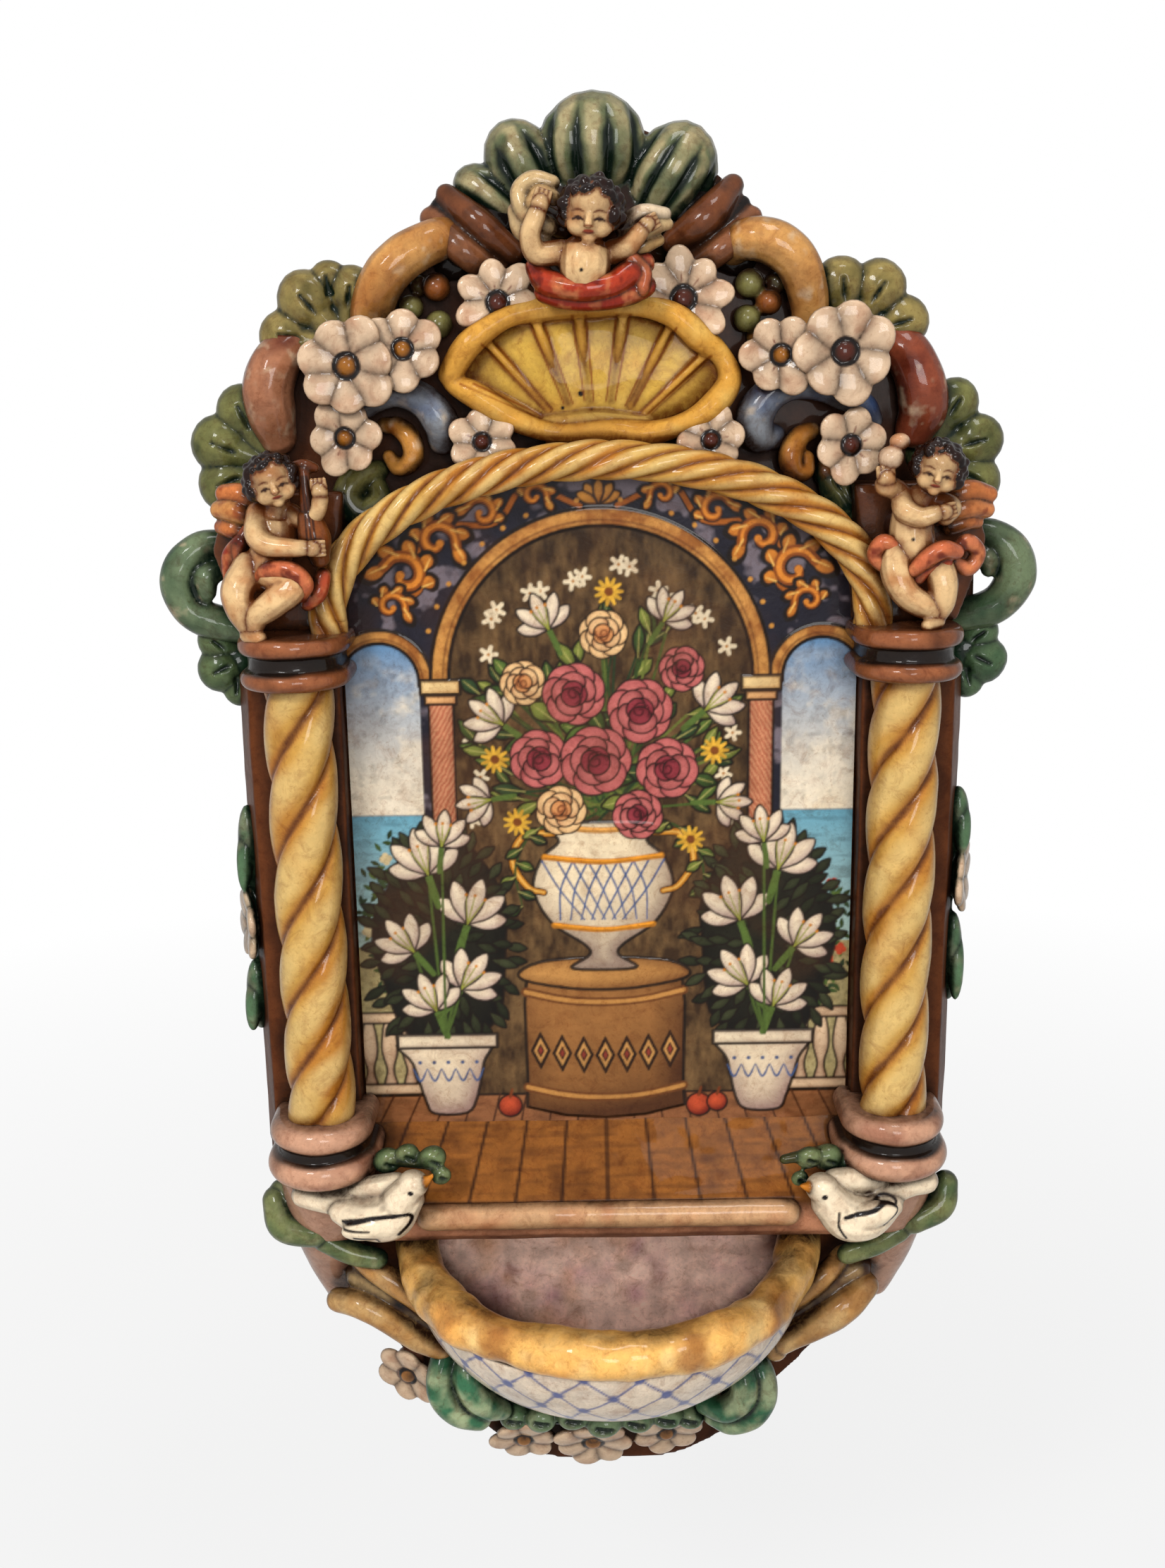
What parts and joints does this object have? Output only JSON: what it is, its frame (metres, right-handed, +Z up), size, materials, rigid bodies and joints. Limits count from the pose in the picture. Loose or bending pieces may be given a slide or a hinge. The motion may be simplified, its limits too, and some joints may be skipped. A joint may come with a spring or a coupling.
{
  "type": "holy water stoup",
  "caption": "Wall-hung holy water stoup: painted niche between twisted columns under a rope arch, shell crest and sprigged flowers above, half-round water basin below.",
  "frame": {"origin": "centre line of the flat back that rests on the wall, at about half the height", "axes": "+Z up, +X to the viewer's right, +Y into the wall, so the front faces -Y"},
  "size_m": [0.291, 0.0965, 0.4898],
  "materials": {
    "amber_glaze": "glossy",
    "blue_glaze": "glossy",
    "brown_glaze": "glossy",
    "flesh_glaze": "glossy",
    "green_glaze": "glossy",
    "olive_glaze": "glossy",
    "painted_glaze": "glossy hand painted",
    "red_glaze": "glossy",
    "rose_glaze": "glossy",
    "white_glaze": "glossy"
  },
  "bodies": {
    "root": {"back_plate": "brown_glaze", "basin_bowl": "white_glaze", "basin_rim": "amber_glaze", "berries": "olive_glaze", "blue_scroll_left": "blue_glaze", "blue_scroll_right": "blue_glaze", "bottom_curls": "green_glaze", "bottom_flowers": "white_glaze", "bottom_leaves": "green_glaze", "bracket_scroll_left": "amber_glaze", "bracket_scroll_right": "amber_glaze", "capital_left": "brown_glaze", "capital_right": "brown_glaze", "column_base_left": "rose_glaze", "column_base_right": "rose_glaze", "column_left": "amber_glaze", "column_right": "amber_glaze", "console_left": "white_glaze", "console_right": "white_glaze", "crest_collar_left": "rose_glaze", "crest_collar_right": "rose_glaze", "crest_shell": "green_glaze", "dove_leaf_left": "olive_glaze", "dove_leaf_right": "olive_glaze", "dove_left": "white_glaze", "dove_right": "white_glaze", "floor_ledge": "brown_glaze", "flowers_top": "white_glaze", "garland_left": "white_glaze", "garland_right": "white_glaze", "gold_scroll_left": "amber_glaze", "gold_scroll_right": "amber_glaze", "hanging_leaf_left": "green_glaze", "hanging_leaf_right": "green_glaze", "jamb_left": "brown_glaze", "jamb_right": "brown_glaze", "ledge_bead": "rose_glaze", "lute": "brown_glaze", "mauve_scroll_left": "rose_glaze", "mauve_scroll_right": "rose_glaze", "olive_leaf_left": "olive_glaze", "olive_leaf_right": "olive_glaze", "picture_panel": "painted_glaze", "putto_centre": "flesh_glaze", "putto_drapes": "red_glaze", "putto_left": "flesh_glaze", "putto_plinth_left": "brown_glaze", "putto_plinth_right": "brown_glaze", "putto_right": "flesh_glaze", "putto_wings": "white_glaze", "rope_arch": "amber_glaze", "scallop_shell": "amber_glaze", "side_curl_left": "green_glaze", "side_curl_right": "green_glaze", "side_leaf_left": "olive_glaze", "side_leaf_right": "olive_glaze", "small_scroll_left": "amber_glaze", "small_scroll_right": "amber_glaze", "upper_leaf_left": "olive_glaze", "upper_leaf_right": "olive_glaze"}
  },
  "joints": []
}
